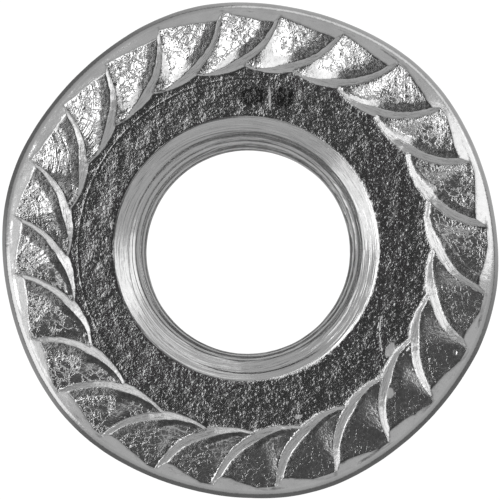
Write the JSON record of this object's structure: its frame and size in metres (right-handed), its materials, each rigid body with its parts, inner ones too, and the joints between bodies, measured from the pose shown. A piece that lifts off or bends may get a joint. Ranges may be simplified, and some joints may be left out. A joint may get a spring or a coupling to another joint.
{
  "type": "serrated flange nut",
  "caption": "Hexagon nut with a round flange whose bearing face has curved ramp serrations, so that it holds itself against loosening on a threaded bolt.",
  "frame": {"origin": "on the axis of the hexagon and flange, in the plane of the hexagon's end, which the nut stands on", "axes": "+Z along the axis from the hexagon's end to the serrated bearing face; +X and +Y across the flange, with the hexagon's corners at 45 degrees and every 60 degrees from there"},
  "size_m": [0.0188, 0.0188, 0.0086],
  "materials": {
    "zinc_plated_steel": "bright zinc plate over cold-forged steel"
  },
  "bodies": {
    "root": {"flange_nut": "zinc_plated_steel"}
  },
  "joints": []
}
